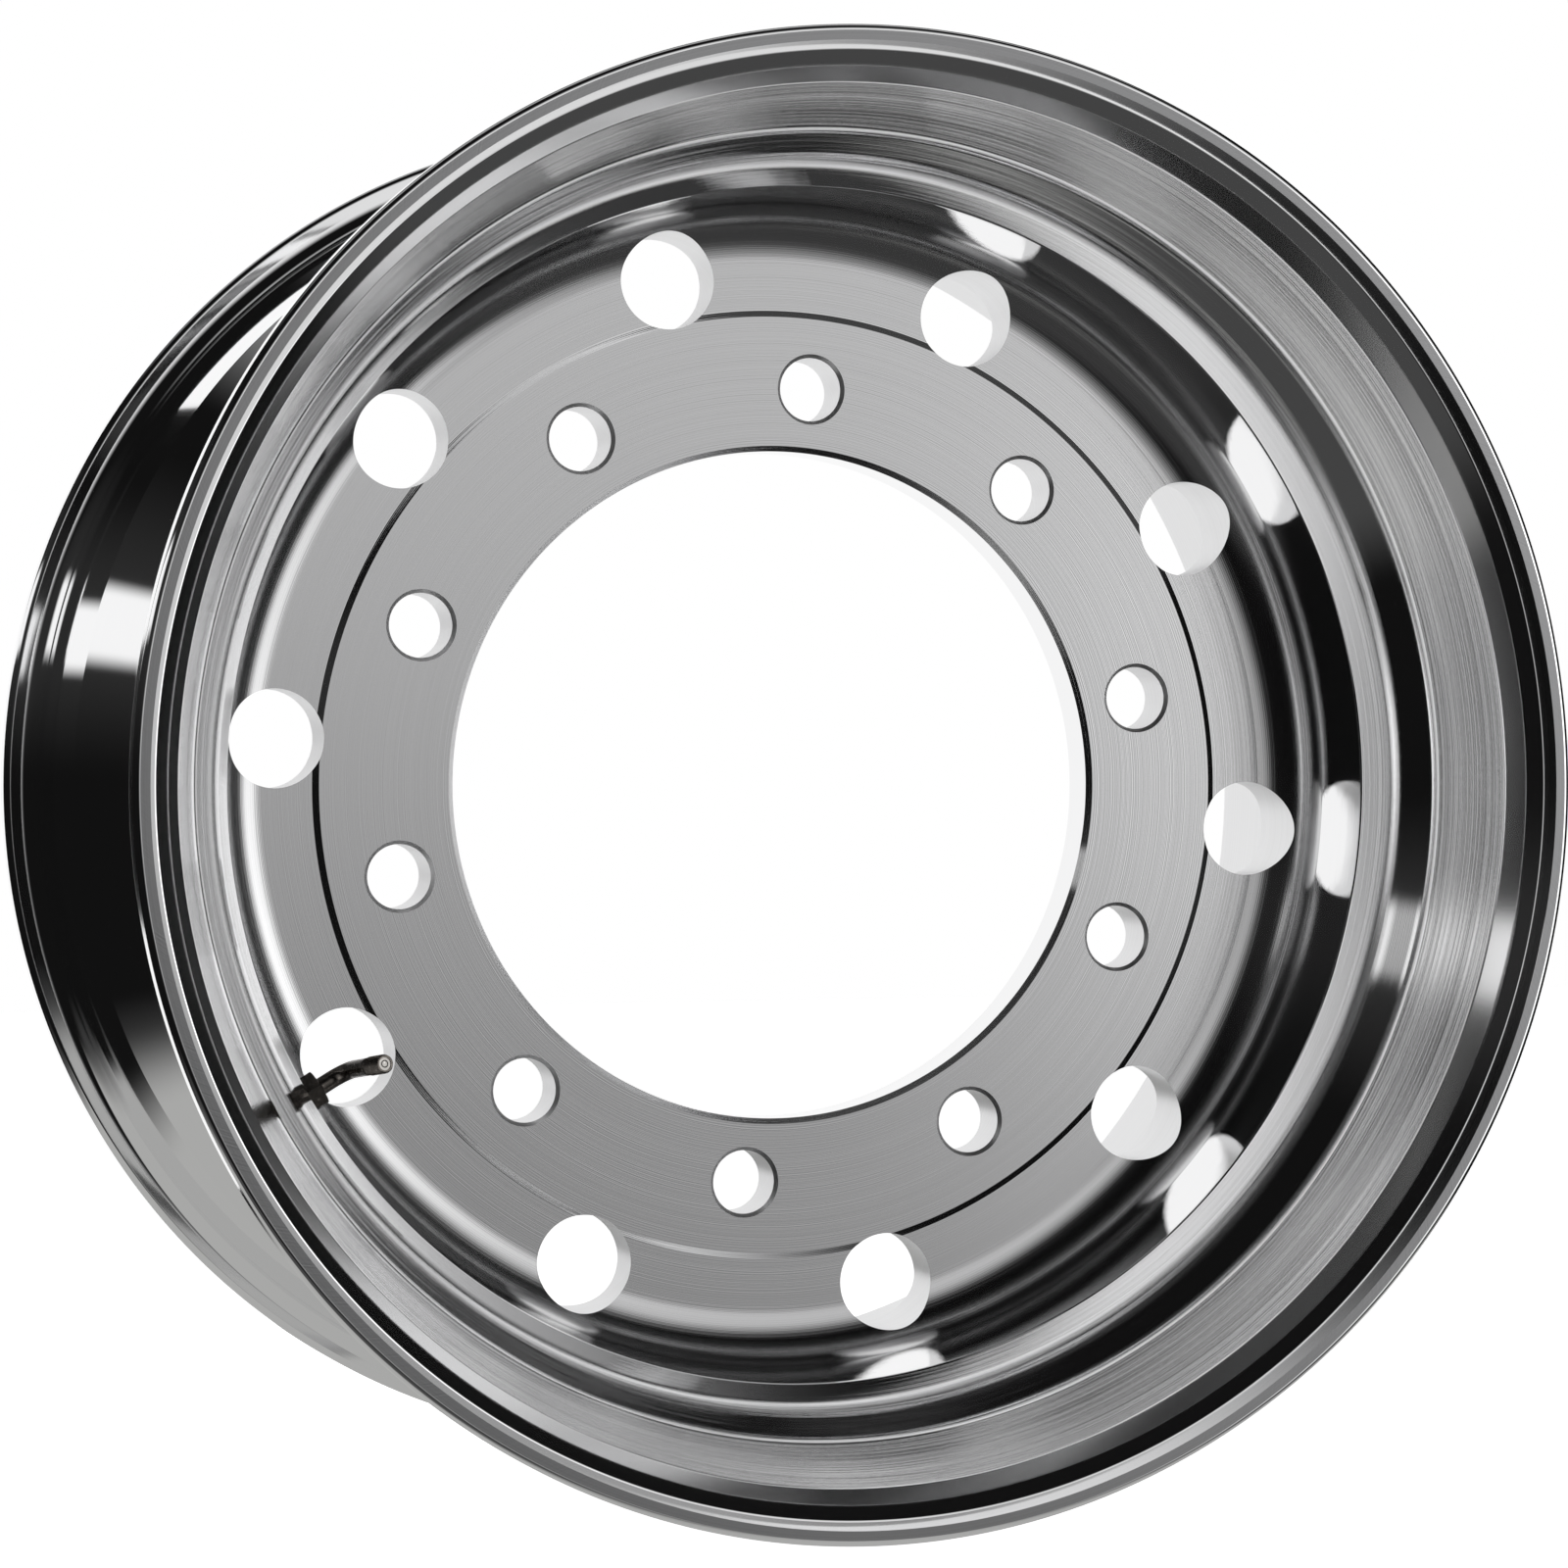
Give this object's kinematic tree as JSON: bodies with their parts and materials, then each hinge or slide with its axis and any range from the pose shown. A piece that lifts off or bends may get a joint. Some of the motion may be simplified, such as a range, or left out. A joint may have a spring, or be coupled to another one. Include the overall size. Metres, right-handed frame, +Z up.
{
  "type": "truck wheel",
  "caption": "Forged polished aluminium truck wheel with a drop-centre rim, flat disc with hand holes and bolt holes, open hub bore and a bent tyre valve.",
  "frame": {"origin": "on the wheel's axis, in the hub mounting face, which is the rim's middle plane", "axes": "+Y along the axis of rotation, inboard, so the outboard face looks to -Y; +Z up as the wheel stands"},
  "size_m": [0.5968, 0.322, 0.5968],
  "materials": {
    "polished_aluminium": "mirror polished, with a satin turned disc and bead bands",
    "dark_plated_brass": "black nickel plate on brass",
    "core_nickel": "nickel plate",
    "seal_rubber": "moulded rubber",
    "spring_steel": "drawn wire"
  },
  "bodies": {
    "wheel_body": {"wheel": "polished_aluminium", "valve_stem": "dark_plated_brass", "valve_seal": "seal_rubber", "valve_washer": "dark_plated_brass", "valve_nut": "dark_plated_brass", "core_plug": "core_nickel", "core_barrel": "core_nickel", "core_gasket": "seal_rubber", "core_spring": "spring_steel"},
    "valve_pin": {"core_pin": "core_nickel", "core_cup": "seal_rubber"}
  },
  "joints": [
    {"name": "valve_pin_press", "type": "slide", "parent": "wheel_body", "child": "valve_pin", "axis": [-0.2148, 0.9681, -0.1287], "range_m": [0, 0.0012], "stiffness_N_per_m": 1500, "springref_m": -0.002, "deforming": ["core_spring"]}
  ]
}
